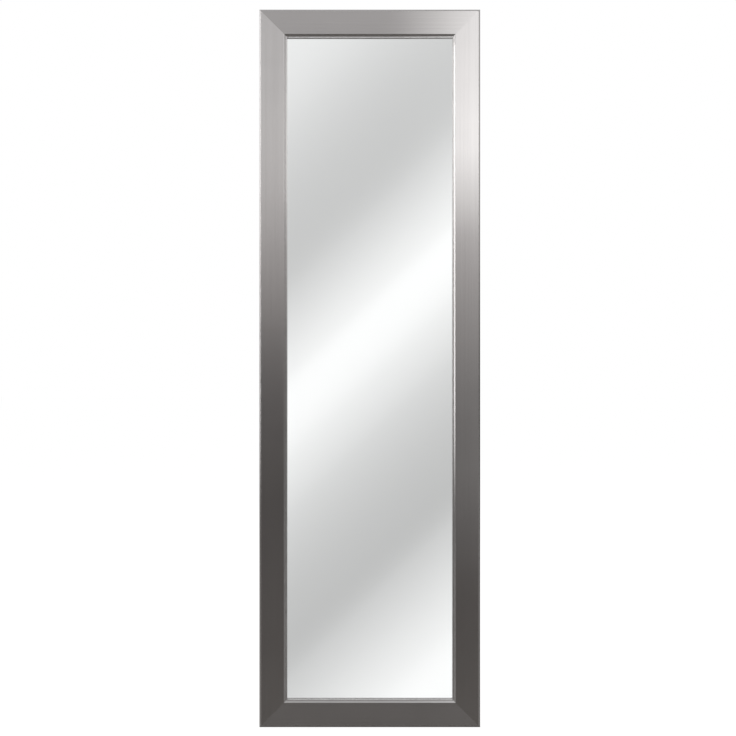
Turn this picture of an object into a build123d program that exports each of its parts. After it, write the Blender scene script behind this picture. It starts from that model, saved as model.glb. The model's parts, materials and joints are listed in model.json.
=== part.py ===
from build123d import *

import math
import os

# A tall framed wall mirror: plain silvered glass in a mitred flat moulding with a brushed nickel facing.
# Sizes are in millimetres. The mirror looks along -Y, the wall is on the +Y side and +Z is up. The origin
# is on the wall plane, which the four rubber bumpers touch, level with the middle of the frame.

# Frame, seen from the front
FRAME_WIDTH = 406.4
FRAME_HEIGHT = 1320.8

# Moulding section, from the outer edge inwards and from the back forwards
MOULDING_WIDTH = 50.8
MOULDING_DEPTH = 19.0
BEVEL = 3.0
STEP_WIDTH = 3.2
STEP_DEPTH = 3.0
BEAD_WIDTH = 2.0
LIP = 6.35
EDGE_BLEND = 0.8

# Brushed nickel facing, wrapped round the core from its back edge to under the lip
FACING_THICKNESS = 0.5
FACING_BACK_WRAP = 3.0
FACING_RETURN = 2.0

# What lies in the rabbet, from the front backwards
GLASS_THICKNESS = 3.0
GLASS_SEAM = 0.4
COATING_THICKNESS = 0.1
FILLER_THICKNESS = 3.2
BACKING_THICKNESS = 3.2
RABBET_GAP = 1.0
RABBET_DEPTH = GLASS_THICKNESS + COATING_THICKNESS + FILLER_THICKNESS + BACKING_THICKNESS

# V-nails across the mitres
NAIL_LEG = 6.0
NAIL_FLARE = 1.2
NAIL_THICKNESS = 0.5
NAIL_DEPTH = 10.0
NAIL_INSETS = (18.0, 36.0)
NAIL_CLEARANCE = 0.05

# Pan-head screws with a cross recess, drawn with flat facets
FASTENER_SIDES = 14
SCREW_RADIUS = 1.75
SCREW_LENGTH = 12.7
SCREW_POINT = 3.0
SCREW_POINT_RADIUS = 0.2
HEAD_RADIUS = 3.5
HEAD_HEIGHT = 2.3
CROWN_HEIGHT = 1.2
CROWN_SLOPE = 1.2
RECESS_SPAN = 3.8
RECESS_WIDTH = 0.8
RECESS_DEPTH = 1.2
PILOT_CLEARANCE = 0.05

# Turn buttons, each a plate with a round boss end, a narrower tip and a lifted end for a fingertip
BUTTON_THICKNESS = 1.0
BUTTON_BOSS_RADIUS = 5.0
BUTTON_TIP_RADIUS = 3.8
BUTTON_REACH = 20.0
BUTTON_LIFT_LENGTH = 4.0
BUTTON_LIFT_ANGLE = 20.0
BUTTON_GAP = 0.1
PIVOT_CLEARANCE = 0.08
PIVOT_SETBACK = 8.0
BUTTON_END_INSET = 143.0
BUTTONS_PER_STILE = 3

# Strap hangers: a strap folded double round the straight leg of a D-ring
STRAP_THICKNESS = 1.0
STRAP_WIDTH = 12.0
STRAP_LENGTH = 26.0
STRAP_PLY_GAP = 0.1
STRAP_SCREW_AT = 20.5
STRAP_SHOULDER_RADIUS = 1.85
STRAP_HOLE_CLEARANCE = 0.25
RING_WIRE_RADIUS = 1.25
RING_EYE_CLEARANCE = 0.08
RING_HALF_WIDTH = 9.75
RING_CORNER_RADIUS = 3.0
RING_SIDE = 2.0
RING_REST_GAP = 0.3
RING_WIRE_SIDES = 10
RING_CORNER_STEPS = 5
RING_BOW_STEPS = 12

# Places of the hangers, in from the edge and down from the end: the upright pair on both stiles, the
# lengthwise pair across the left stile
UPRIGHT_HANGER_DROP = 240.0
UPRIGHT_HANGER_INSET = 22.0
SIDE_HANGER_DROP = 330.0
SIDE_HANGER_INSET = 17.0

# Rubber bumpers, which stand the frame off the wall
BUMPER_RADIUS = 6.35
BUMPER_HEIGHT = 5.2
BUMPER_RIM_WIDTH = 1.2
BUMPER_RIM_HEIGHT = 2.4
BUMPER_SIDES = 24
BUMPER_SIDE_INSET = 22.0
BUMPER_END_INSET = 75.0

# Worked out from the sizes above
HALF_WIDTH = FRAME_WIDTH / 2
HALF_HEIGHT = FRAME_HEIGHT / 2
BACK_Y = -BUMPER_HEIGHT
RABBET_INSET = MOULDING_WIDTH - LIP
EYE_RADIUS = RING_WIRE_RADIUS + RING_EYE_CLEARANCE
EYE_HEIGHT = EYE_RADIUS + STRAP_THICKNESS
RING_REACH = RING_CORNER_RADIUS + RING_SIDE + RING_HALF_WIDTH
BUTTON_SEAT = BUTTON_THICKNESS + 2 * BUTTON_GAP
STRAP_SEAT = 2 * STRAP_THICKNESS + STRAP_PLY_GAP

# Each rail of the frame: its length along the outer edge, and its place. A rail is drawn along X, with
# its outer edge at Z = 0 and its inner edge above it.
RAILS = {
    "bottom_rail": (FRAME_WIDTH, Pos(0, 0, -HALF_HEIGHT)),
    "top_rail": (FRAME_WIDTH, Pos(0, 0, HALF_HEIGHT) * Rot(0, 180, 0)),
    "left_stile": (FRAME_HEIGHT, Pos(-HALF_WIDTH, 0, 0) * Rot(0, 90, 0)),
    "right_stile": (FRAME_HEIGHT, Pos(HALF_WIDTH, 0, 0) * Rot(0, -90, 0)),
}
CORNERS = ((-1, -1), (1, -1), (1, 1), (-1, 1))


def on_back(x, z, turn=0):
    """The place of a fitting on the back of the frame: its own +Z points along the turned direction."""
    return Pos(x, BACK_Y, z) * Rot(0, turn, 0)


def rounded(face, corners):
    """The face with its corner nearest to each point rounded to the radius given with that point."""
    for point, radius in corners:
        corner = face.vertices().sort_by_distance(point)[0]
        face = fillet(corner, radius)
    return face


def moulding_outline():
    """The corners of the moulding's finished section, from the back of its outer edge round to the rabbet."""
    step_start = MOULDING_WIDTH - BEAD_WIDTH - STEP_WIDTH
    bead_front = MOULDING_DEPTH - STEP_DEPTH
    return [
        (0, 0),
        (0, MOULDING_DEPTH - BEVEL),
        (BEVEL, MOULDING_DEPTH),
        (step_start, MOULDING_DEPTH),
        (MOULDING_WIDTH - BEAD_WIDTH, bead_front),
        (MOULDING_WIDTH, bead_front),
        (MOULDING_WIDTH, RABBET_DEPTH),
        (RABBET_INSET, RABBET_DEPTH),
        (RABBET_INSET, 0),
    ]


def moulding_sections():
    """The sections of the wrapped facing, with its visible corners blended, and of the core that it covers."""
    points = moulding_outline()
    sharp = make_face(Polyline(*points, close=True))
    inset = offset(sharp, amount=-FACING_THICKNESS, kind=Kind.INTERSECTION)
    finished = rounded(sharp, [(point, EDGE_BLEND) for point in points[:7]])
    bare_width = MOULDING_WIDTH - FACING_RETURN - FACING_BACK_WRAP
    bare_height = RABBET_DEPTH + FACING_THICKNESS
    bare = Pos(FACING_BACK_WRAP, 0) * Rectangle(bare_width, bare_height, align=(Align.MIN, Align.MIN))
    facing = finished - inset - bare
    return facing, finished - facing


def mitred_rail(section, length):
    """A length of moulding along X, with both ends cut back at 45 degrees."""
    section_plane = Plane(origin=(0, BACK_Y, 0), x_dir=(0, 0, 1), z_dir=(1, 0, 0))
    blank = extrude(section_plane * section, amount=length / 2, both=True)
    short_half = length / 2 - MOULDING_WIDTH
    front_view = Polyline(
        (-length / 2, 0),
        (length / 2, 0),
        (short_half, MOULDING_WIDTH),
        (-short_half, MOULDING_WIDTH),
        close=True,
    )
    reach = MOULDING_DEPTH + BUMPER_HEIGHT
    mitres = extrude(Plane.XZ * make_face(front_view), amount=reach, both=True)
    return blank & mitres


def v_nail(inset, side, end, clearance=0):
    """A V-nail with its fold on the mitre line and one leg in each rail, opening to the frame's corner."""
    flare = (NAIL_FLARE + clearance) / math.sqrt(2)
    centre_line = Polyline(
        (side * (NAIL_LEG + flare), -end * flare),
        (side * NAIL_LEG, 0),
        (0, 0),
        (0, end * NAIL_LEG),
        (-side * flare, end * (NAIL_LEG + flare)),
    )
    plan = trace(centre_line, line_width=NAIL_THICKNESS + 2 * clearance)
    nail = extrude(Plane.XZ * plan, amount=NAIL_DEPTH + clearance)
    return Pos(side * (HALF_WIDTH - inset), BACK_Y, end * (HALF_HEIGHT - inset)) * nail


def all_nails(clearance=0):
    """Two V-nails at each corner of the frame."""
    return [v_nail(inset, side, end, clearance) for side, end in CORNERS for inset in NAIL_INSETS]


def button_places():
    """Each turn button's name and place: its pivot in the rail, its tip pointing in over the backing."""
    pivot_inset = RABBET_INSET - PIVOT_SETBACK
    first = BUTTON_END_INSET - HALF_HEIGHT
    pitch = -2 * first / (BUTTONS_PER_STILE - 1)
    places = {}
    for index in range(BUTTONS_PER_STILE):
        height = first + index * pitch
        places[f"left_{index + 1}"] = on_back(-HALF_WIDTH + pivot_inset, height, 90)
        places[f"right_{index + 1}"] = on_back(HALF_WIDTH - pivot_inset, height, -90)
    places["bottom"] = on_back(0, -HALF_HEIGHT + pivot_inset)
    places["top"] = on_back(0, HALF_HEIGHT - pivot_inset, 180)
    return places


def hanger_places():
    """Each strap hanger's name and place: the axis of its ring, with the ring pointing along its +Z."""
    upright_x = HALF_WIDTH - UPRIGHT_HANGER_INSET
    upright_z = HALF_HEIGHT - UPRIGHT_HANGER_DROP
    side_x = -HALF_WIDTH + SIDE_HANGER_INSET
    side_z = HALF_HEIGHT - SIDE_HANGER_DROP
    return {
        "left": on_back(-upright_x, upright_z),
        "right": on_back(upright_x, upright_z),
        "side_upper": on_back(side_x, side_z, -90),
        "side_lower": on_back(side_x, -side_z, -90),
    }


def screw(seat):
    """A pan-head screw along Y whose head bears on a piece that stands this high off the frame's back."""
    shank = RegularPolygon(SCREW_RADIUS, FASTENER_SIDES)
    head = RegularPolygon(HEAD_RADIUS, FASTENER_SIDES)
    tip = seat - SCREW_LENGTH
    shank_end = tip + SCREW_POINT
    crown_start = seat + HEAD_HEIGHT - CROWN_HEIGHT
    crown_top = seat + HEAD_HEIGHT
    point_end = Pos(0, 0, tip) * RegularPolygon(SCREW_POINT_RADIUS, FASTENER_SIDES)
    crown_end = Pos(0, 0, crown_top) * RegularPolygon(HEAD_RADIUS - CROWN_SLOPE, FASTENER_SIDES)
    body = extrude(Pos(0, 0, shank_end) * shank, amount=seat - shank_end)
    body += loft([point_end, Pos(0, 0, shank_end) * shank], ruled=True)
    body += extrude(Pos(0, 0, seat) * head, amount=crown_start - seat)
    body += loft([Pos(0, 0, crown_start) * head, crown_end], ruled=True)
    for turn in (0, 90):
        slot = Box(RECESS_SPAN, RECESS_WIDTH, RECESS_DEPTH, align=(Align.CENTER, Align.CENTER, Align.MAX))
        body -= Pos(0, 0, crown_top) * Rot(0, 0, turn) * slot
    return Rot(-90, 0, 0) * body


def pilot_hole(seat):
    """The hole in the core for a screw whose head stands this high off the frame's back."""
    depth = SCREW_LENGTH - seat + PILOT_CLEARANCE
    outline = RegularPolygon(SCREW_RADIUS + PILOT_CLEARANCE, FASTENER_SIDES)
    return Rot(-90, 0, 0) * extrude(outline, amount=-depth)


def turn_button():
    """A turn button with its pivot on the Y axis and its tip along +Z, clear of the frame's back."""
    tip_centre = BUTTON_REACH - BUTTON_TIP_RADIUS
    plan = make_hull((Circle(BUTTON_BOSS_RADIUS) + Pos(0, tip_centre) * Circle(BUTTON_TIP_RADIUS)).edges())
    plan -= Circle(SCREW_RADIUS + PIVOT_CLEARANCE)
    bend_at = BUTTON_REACH - BUTTON_LIFT_LENGTH
    lift = BUTTON_LIFT_LENGTH * math.tan(math.radians(BUTTON_LIFT_ANGLE))
    side_view = Polyline(
        (-BUTTON_BOSS_RADIUS, 0),
        (bend_at, 0),
        (BUTTON_REACH, lift),
        (BUTTON_REACH, lift + BUTTON_THICKNESS),
        (bend_at, BUTTON_THICKNESS),
        (-BUTTON_BOSS_RADIUS, BUTTON_THICKNESS),
        close=True,
    )
    side_plane = Plane(origin=(0, BUTTON_GAP, 0), x_dir=(0, 0, 1), z_dir=(-1, 0, 0))
    strip = extrude(side_plane * make_face(side_view), amount=BUTTON_BOSS_RADIUS, both=True)
    blank = extrude(Plane.XZ * plan, amount=BUTTON_SEAT + lift + BUTTON_THICKNESS, both=True)
    return strip & blank


def hanger_strap():
    """A strap folded double round the ring's axis, which lies along X at the height of its eye."""
    middle = EYE_RADIUS + STRAP_THICKNESS / 2
    upper_ply = STRAP_THICKNESS * 1.5 + STRAP_PLY_GAP
    shoulder_height = upper_ply + STRAP_SHOULDER_RADIUS
    rise = shoulder_height - EYE_HEIGHT
    shoulder_back = math.sqrt((middle + STRAP_SHOULDER_RADIUS) ** 2 - rise**2)
    meeting = 180 - math.degrees(math.atan2(rise, shoulder_back))
    shoulder = (-shoulder_back, shoulder_height)
    fold = [
        Line((-STRAP_LENGTH, STRAP_THICKNESS / 2), (0, STRAP_THICKNESS / 2)),
        CenterArc((0, EYE_HEIGHT), middle, -90, 90 + meeting),
        CenterArc(shoulder, STRAP_SHOULDER_RADIUS, meeting - 180, 90 - meeting),
        Line((-shoulder_back, upper_ply), (-STRAP_LENGTH, upper_ply)),
    ]
    side_plane = Plane(origin=(0, 0, 0), x_dir=(0, 0, 1), z_dir=(-1, 0, 0))
    side_view = trace(fold, line_width=STRAP_THICKNESS)
    strip = extrude(side_plane * side_view, amount=STRAP_WIDTH / 2, both=True)
    end_centre = -STRAP_LENGTH + STRAP_WIDTH / 2
    plan = Pos(0, end_centre) * Circle(STRAP_WIDTH / 2)
    plan += Pos(0, end_centre) * Rectangle(STRAP_WIDTH, STRAP_LENGTH, align=(Align.CENTER, Align.MIN))
    plan -= Pos(0, -STRAP_SCREW_AT) * RegularPolygon(SCREW_RADIUS + STRAP_HOLE_CLEARANCE, FASTENER_SIDES)
    blank = extrude(Plane.XZ * plan, amount=2 * EYE_HEIGHT + STRAP_SEAT, both=True)
    return strip & blank


def ring_path():
    """The ring's centre line in its own plane: the straight leg in the eye, two corners and the bow."""
    half_leg = RING_HALF_WIDTH - RING_CORNER_RADIUS
    bow_centre = RING_CORNER_RADIUS + RING_SIDE
    points = []
    for step in range(RING_CORNER_STEPS + 1):
        angle = math.pi / 2 * (step / RING_CORNER_STEPS - 1)
        points.append((half_leg, RING_CORNER_RADIUS, RING_CORNER_RADIUS, angle))
    for step in range(RING_BOW_STEPS + 1):
        points.append((0, bow_centre, RING_HALF_WIDTH, math.pi * step / RING_BOW_STEPS))
    for step in range(RING_CORNER_STEPS + 1):
        angle = math.pi / 2 * (step / RING_CORNER_STEPS + 2)
        points.append((-half_leg, RING_CORNER_RADIUS, RING_CORNER_RADIUS, angle))
    return [(x + r * math.cos(angle), y + r * math.sin(angle)) for x, y, r, angle in points]


def hanger_ring():
    """A D-ring of faceted wire in the strap's eye, leaning on the back of the frame but for its rest gap."""
    path = Plane.XZ * Polyline(*ring_path(), close=True)
    section = Plane.YZ * RegularPolygon(RING_WIRE_RADIUS, RING_WIRE_SIDES)
    flat_ring = sweep(section, path=path, transition=Transition.RIGHT)
    return Pos(0, EYE_HEIGHT, 0) * Rot(ring_lean(), 0, 0) * flat_ring


def ring_lean():
    """How far, in degrees, the ring leans towards the frame at rest."""
    drop = EYE_HEIGHT - RING_WIRE_RADIUS - RING_REST_GAP
    return math.degrees(math.asin(drop / RING_REACH))


def bumper():
    """A round rubber bumper on the back of the frame, with a sloped rim and a flat face to the wall."""
    body_height = BUMPER_HEIGHT - BUMPER_RIM_HEIGHT
    foot = RegularPolygon(BUMPER_RADIUS, BUMPER_SIDES)
    face = RegularPolygon(BUMPER_RADIUS - BUMPER_RIM_WIDTH, BUMPER_SIDES)
    body = extrude(foot, amount=body_height)
    body += loft([Pos(0, 0, body_height) * foot, Pos(0, 0, BUMPER_HEIGHT) * face], ruled=True)
    return Rot(-90, 0, 0) * body


def rabbet_sheet(thickness, depth_behind):
    """A flat sheet in the rabbet, with this much of the rabbet's depth behind it."""
    width = FRAME_WIDTH - 2 * (RABBET_INSET + RABBET_GAP)
    height = FRAME_HEIGHT - 2 * (RABBET_INSET + RABBET_GAP)
    sheet = Box(width, thickness, height, align=(Align.CENTER, Align.MAX, Align.CENTER))
    return Pos(0, BACK_Y - depth_behind, 0) * sheet


def frame_pieces():
    """The four cores, the four facings and the nails that hold the mitres."""
    facing_section, core_section = moulding_sections()
    screw_holes = [place * pilot_hole(BUTTON_SEAT) for place in button_places().values()]
    for place in hanger_places().values():
        screw_holes.append(place * Pos(0, 0, -STRAP_SCREW_AT) * pilot_hole(STRAP_SEAT))
    pieces = {}
    for name, (length, place) in RAILS.items():
        pieces[f"facing_{name}"] = place * mitred_rail(facing_section, length)
        core = place * mitred_rail(core_section, length)
        pieces[f"core_{name}"] = core - screw_holes - all_nails(NAIL_CLEARANCE)
    pieces["corner_v_nails"] = all_nails()
    return pieces


def rabbet_pieces():
    """The silvered glass, the filler behind it and the backing board, flush with the frame's back."""
    behind_glass = COATING_THICKNESS + FILLER_THICKNESS + BACKING_THICKNESS
    glass = rabbet_sheet(GLASS_THICKNESS, behind_glass)
    long_edges = glass.edges().filter_by(Axis.Y, reverse=True)
    return {
        "mirror_glass": chamfer(long_edges, GLASS_SEAM),
        "silver_coating": rabbet_sheet(COATING_THICKNESS, FILLER_THICKNESS + BACKING_THICKNESS),
        "filler_sheet": rabbet_sheet(FILLER_THICKNESS, BACKING_THICKNESS),
        "backing_board": rabbet_sheet(BACKING_THICKNESS, 0),
    }


def back_fittings():
    """Turn buttons, strap hangers, their screws and the wall bumpers."""
    pieces = {}
    buttons = button_places()
    for name, place in buttons.items():
        pieces[f"turn_button_{name}"] = place * turn_button()
    pieces["turn_button_screws"] = [place * screw(BUTTON_SEAT) for place in buttons.values()]
    hangers = hanger_places()
    for name, place in hangers.items():
        pieces[f"hanger_ring_{name}"] = place * hanger_ring()
    pieces["hanger_straps"] = [place * hanger_strap() for place in hangers.values()]
    strap_screw = Pos(0, 0, -STRAP_SCREW_AT) * screw(STRAP_SEAT)
    pieces["hanger_screws"] = [place * strap_screw for place in hangers.values()]
    bumper_x = HALF_WIDTH - BUMPER_SIDE_INSET
    bumper_z = HALF_HEIGHT - BUMPER_END_INSET
    pieces["wall_bumpers"] = [on_back(side * bumper_x, end * bumper_z) * bumper() for side, end in CORNERS]
    return pieces


def main():
    """Writes one file for each piece, or for each group of like fasteners."""
    os.makedirs("parts", exist_ok=True)
    for name, shape in {**frame_pieces(), **rabbet_pieces(), **back_fittings()}.items():
        if isinstance(shape, list):
            shape = Compound(children=[solid for piece in shape for solid in piece.solids()])
        export_step(shape, f"parts/{name}.step")


main()
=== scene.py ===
import json
import math

import bmesh
import bpy
from mathutils import Matrix, Vector


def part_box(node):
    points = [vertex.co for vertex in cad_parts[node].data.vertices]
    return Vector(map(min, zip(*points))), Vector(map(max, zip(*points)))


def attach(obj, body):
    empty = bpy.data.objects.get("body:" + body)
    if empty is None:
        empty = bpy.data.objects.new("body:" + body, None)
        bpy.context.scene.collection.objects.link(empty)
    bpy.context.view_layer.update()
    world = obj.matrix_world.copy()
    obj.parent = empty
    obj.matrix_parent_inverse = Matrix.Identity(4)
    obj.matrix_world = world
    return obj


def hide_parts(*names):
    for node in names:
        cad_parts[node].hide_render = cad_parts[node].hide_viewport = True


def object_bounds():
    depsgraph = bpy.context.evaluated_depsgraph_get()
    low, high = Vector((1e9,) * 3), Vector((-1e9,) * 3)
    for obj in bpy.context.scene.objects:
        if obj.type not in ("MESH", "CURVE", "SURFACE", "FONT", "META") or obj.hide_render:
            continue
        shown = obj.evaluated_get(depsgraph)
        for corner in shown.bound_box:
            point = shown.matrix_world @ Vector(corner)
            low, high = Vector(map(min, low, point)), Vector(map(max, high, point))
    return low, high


bl_info = {
    "name": "Tall wall mirror",
    "version": (1, 0, 0),
    "blender": (4, 5, 0),
    "location": "3D View > Sidebar > Wall Mirror",
    "description": "A tall mirror in a brushed nickel frame, with the fittings on its back",
    "category": "Object",
}

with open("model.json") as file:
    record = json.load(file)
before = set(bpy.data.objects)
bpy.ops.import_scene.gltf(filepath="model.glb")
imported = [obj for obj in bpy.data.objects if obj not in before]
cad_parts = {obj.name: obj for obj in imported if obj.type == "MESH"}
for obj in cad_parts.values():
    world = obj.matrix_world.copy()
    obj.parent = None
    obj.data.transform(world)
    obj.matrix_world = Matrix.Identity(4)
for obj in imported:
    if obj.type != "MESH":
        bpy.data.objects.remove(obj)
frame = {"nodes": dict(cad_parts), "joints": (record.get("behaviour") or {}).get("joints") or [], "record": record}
CAD_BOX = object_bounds()
MOUNTS = {mount["name"]: Vector(mount["pos_m"]) for mount in frame["record"]["mounts"]}
BACK_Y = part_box("core_right_stile")[1].y
FITTINGS = {joint["child"]: Vector(joint["pos_m"]) for joint in frame["joints"]}
WHITE = (1.0, 1.0, 1.0, 1.0)

# Lengths that belong to the way the pieces are made, in metres
SAME_PLACE = 1e-6
EASED_EDGE = 0.00012
SCREW_POINT = 0.003
RECESS_SPAN = 0.0038
RECESS_WIDTH = 0.0008
RECESS_HEIGHT = 0.003
BUTTON_SCREW_SEAT = 0.0012
STRAP_SCREW_SEAT = 0.0021
BUTTON_HOLE_GAP = 0.00008
STRAP_HOLE_GAP = 0.00028
STRAP_PLY_GAP = 0.0001
STRAP_SHOULDER_RADIUS = 0.00185
RING_REST_GAP = 0.0003
BUMPER_ROUNDING = 0.0016
BUMPER_RIM = 0.0012
BUMPER_DISH = 0.0003
SILVER_OVERLAP = 0.00004
SILVER_MARGIN = 0.0005
SILVER_BORDER = 0.0012
STRAP_TIP_FLAT = 0.00002
SKIN_TOLERANCE = 0.0001
DRILL_DEPTH = 0.01
FLOOR_GAP = 0.0002


def size(name, description, default):
    """A length that a user can change, shown in the scene's own units."""
    return bpy.props.FloatProperty(
        name=name, description=description, default=default, min=0.0, unit="LENGTH", precision=5
    )


def colour(name, description, default):
    """A colour that a user can change."""
    return bpy.props.FloatVectorProperty(
        name=name, description=description, default=default, size=4, min=0.0, max=1.0, subtype="COLOR"
    )


def share(name, description, default):
    """A number from 0 to 1 that a user can change."""
    return bpy.props.FloatProperty(
        name=name, description=description, default=default, min=0.0, max=1.0, subtype="FACTOR"
    )


class MouldingSizes(bpy.types.PropertyGroup):
    """The section of the frame's moulding and of its metal facing."""

    width: size("Width", "From the frame's outer edge to the sight edge", 0.0508)
    depth: size("Depth", "From the back of the frame to its face", 0.019)
    bevel: size("Bevel", "Each leg of the bevel round the outer edge", 0.003)
    step_width: size("Step width", "Width of the slope down from the face", 0.0032)
    step_depth: size("Step depth", "Depth of the slope down from the face", 0.003)
    bead_width: size("Bead width", "Width of the flat bead beside the glass", 0.002)
    glass_level: size("Glass level", "From the back of the frame to the front of the glass", 0.0095)
    back_wrap: size("Back wrap", "How far the facing laps onto the back", 0.003)
    lip_return: size("Lip return", "How far the facing turns in under the lip", 0.002)
    facing: size("Facing thickness", "Thickness of the nickel-coloured sheet", 0.0005)
    blend: size("Blend radius", "Radius of the folds in the facing", 0.0008)
    mitre_ease: size("Mitre ease", "Width of the eased edge along each mitre", 0.00026)


class FittingSizes(bpy.types.PropertyGroup):
    """The fittings on the back of the frame."""

    screw_radius: size("Screw radius", "Radius of the screws' shanks", 0.00172)
    screw_length: size("Screw length", "Length of the screws under their heads", 0.0127)
    head_radius: size("Head radius", "Radius of the screws' pan heads", 0.00345)
    head_height: size("Head height", "Height of the screws' pan heads", 0.0023)
    button_thickness: size("Button thickness", "Thickness of a turn button", 0.001)
    button_boss: size("Button boss radius", "Radius of a turn button's pivot end", 0.005)
    button_tip: size("Button tip radius", "Radius of a turn button's tip", 0.0038)
    button_reach: size("Button reach", "From a turn button's pivot to its tip", 0.02)
    button_lift: size("Button lift length", "Length of a turn button's lifted end", 0.004)
    strap_thickness: size("Strap thickness", "Thickness of a hanger's strap", 0.001)
    strap_width: size("Strap width", "Width of a hanger's strap", 0.012)
    strap_length: size("Strap length", "From the ring's axis to the strap's end", 0.026)
    strap_screw: size("Strap screw", "From the ring's axis to the strap's screw", 0.0205)
    wire_radius: size("Wire radius", "Radius of the D-ring's wire", 0.00125)
    ring_half_width: size("Ring half width", "From the ring's middle to the wire's centre", 0.00975)
    ring_corner: size("Ring corner", "Radius of the D-ring's corners", 0.003)
    ring_side: size("Ring side", "Straight length beside each corner", 0.002)
    bumper_radius: size("Bumper radius", "Radius of a rubber bumper", 0.00635)


class FinishColours(bpy.types.PropertyGroup):
    """The colours of the finishes."""

    nickel: colour("Nickel", "Brushed nickel of the facing", (0.66, 0.645, 0.64, 1.0))
    zinc: colour("Zinc", "Zinc-plated steel of the fittings", (0.58, 0.60, 0.62, 1.0))
    wire: colour("Wire", "Nickel-plated wire of the rings", (0.68, 0.66, 0.62, 1.0))
    silver: colour("Silver", "Silvering behind the glass", (0.95, 0.955, 0.955, 1.0))
    paint: colour("Mirror paint", "Protective paint behind the silvering", (0.16, 0.19, 0.18, 1.0))
    glass: colour("Glass", "Clear float glass", (0.978, 0.984, 0.981, 1.0))
    fibre: colour("Fibreboard", "MDF of the frame's core", (0.47, 0.335, 0.205, 1.0))
    hardboard: colour("Hardboard", "Backing board", (0.135, 0.066, 0.034, 1.0))
    card: colour("Card", "Corrugated board behind the glass", (0.42, 0.28, 0.15, 1.0))
    rubber: colour("Rubber", "Bumpers", (0.022, 0.022, 0.023, 1.0))


class StageSettings(bpy.types.PropertyGroup):
    """The camera, the lamps and the floor."""

    camera_distance: size("Camera distance", "From the camera to the frame's face", 3.0)
    view_span: size("View span", "Width of the picture at the frame's face", 1.3535)
    camera_right: bpy.props.FloatProperty(
        name="Camera right", description="Shift of the camera from the mirror's middle",
        default=-0.0033, unit="LENGTH",
    )
    camera_up: bpy.props.FloatProperty(
        name="Camera up", description="Height of the camera above the mirror's middle",
        default=0.0007, unit="LENGTH",
    )
    floor_shade: share("Floor shade", "How pale the floor is", 0.86)
    room_light: share("Room light", "Even light from all round", 0.62)


def deselect_everything():
    """Leaves object mode with nothing selected, so that an operator acts on one piece alone."""
    if bpy.context.object and bpy.context.object.mode != "OBJECT":
        bpy.ops.object.mode_set(mode="OBJECT")
    bpy.ops.object.select_all(action="DESELECT")


def activate(piece):
    """Makes the piece the only selected one, and the active one."""
    deselect_everything()
    piece.select_set(True)
    bpy.context.view_layer.objects.active = piece


def started(name):
    """Names the primitive that was just added, and applies its place so that its mesh holds it."""
    piece = bpy.context.object
    piece.name = name
    piece.data.name = name
    bpy.ops.object.transform_apply(location=True, rotation=True, scale=True)
    return piece


def edit(piece):
    """Opens the piece in edit mode with nothing selected."""
    activate(piece)
    bpy.ops.object.mode_set(mode="EDIT")
    bpy.ops.mesh.select_all(action="DESELECT")


def select(piece, verts=None, edges=None, faces=None):
    """Selects the vertices, edges or faces for which the test given for that kind is true."""
    mode = "VERT" if verts else "EDGE" if edges else "FACE"
    bpy.ops.mesh.select_mode(type=mode)
    mesh = bmesh.from_edit_mesh(piece.data)
    mesh.normal_update()
    for parts in (mesh.verts, mesh.edges, mesh.faces):
        for part in parts:
            part.select = False
    for parts, test in ((mesh.verts, verts), (mesh.edges, edges), (mesh.faces, faces)):
        if test:
            for part in parts:
                if test(part):
                    part.select_set(True)
    mesh.select_flush_mode()
    bmesh.update_edit_mesh(piece.data)
    if not any(part.select for part in mesh.verts):
        raise RuntimeError(f"nothing was selected on {piece.name}")


def middle(edge):
    """The middle of an edge."""
    return (edge.verts[0].co + edge.verts[1].co) / 2


def modify(piece, kind, **settings):
    """Adds a modifier and applies it at once."""
    activate(piece)
    bpy.ops.object.modifier_add(type=kind)
    modifier = piece.modifiers[-1]
    for name, value in settings.items():
        setattr(modifier, name, value)
    bpy.ops.object.modifier_apply(modifier=modifier.name)


def smooth(piece, angle=35):
    """Shades the piece smooth but for its sharp edges, and keeps its wide flats flat."""
    activate(piece)
    bpy.ops.object.shade_smooth_by_angle(angle=math.radians(angle))
    modify(piece, "WEIGHTED_NORMAL", mode="FACE_AREA", weight=100, keep_sharp=True)


def face_outwards(piece):
    """Merges doubled vertices and turns the faces outwards."""
    edit(piece)
    bpy.ops.mesh.select_all(action="SELECT")
    bpy.ops.mesh.remove_doubles(threshold=SAME_PLACE)
    bpy.ops.mesh.normals_make_consistent(inside=False)
    deselect_everything()


def placed(piece, name, place):
    """A copy of the piece with its own mesh, turned and moved to its place."""
    activate(piece)
    bpy.ops.object.duplicate(linked=False)
    copy = bpy.context.object
    copy.name = name
    copy.data.name = name
    copy.matrix_world = place
    bpy.ops.object.transform_apply(location=True, rotation=True, scale=True)
    return copy


def remove(*pieces):
    """Deletes patterns and cutters that were only needed for copying and cutting."""
    for piece in pieces:
        bpy.data.objects.remove(piece)


def belongs(piece, finish, slot, body, *nodes):
    """Gives the piece its finish and its body, and hides the CAD nodes that it stands for."""
    piece.data.materials.clear()
    for material in finish if isinstance(finish, (list, tuple)) else [finish]:
        piece.data.materials.append(material)
    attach(piece, body)
    if nodes:
        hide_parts(*nodes)


def repaint(material, *nodes):
    """Gives CAD nodes a better material in their own slots."""
    for node in nodes:
        shown = frame["nodes"][node]
        for slot in shown.material_slots:
            slot.material = material


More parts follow.
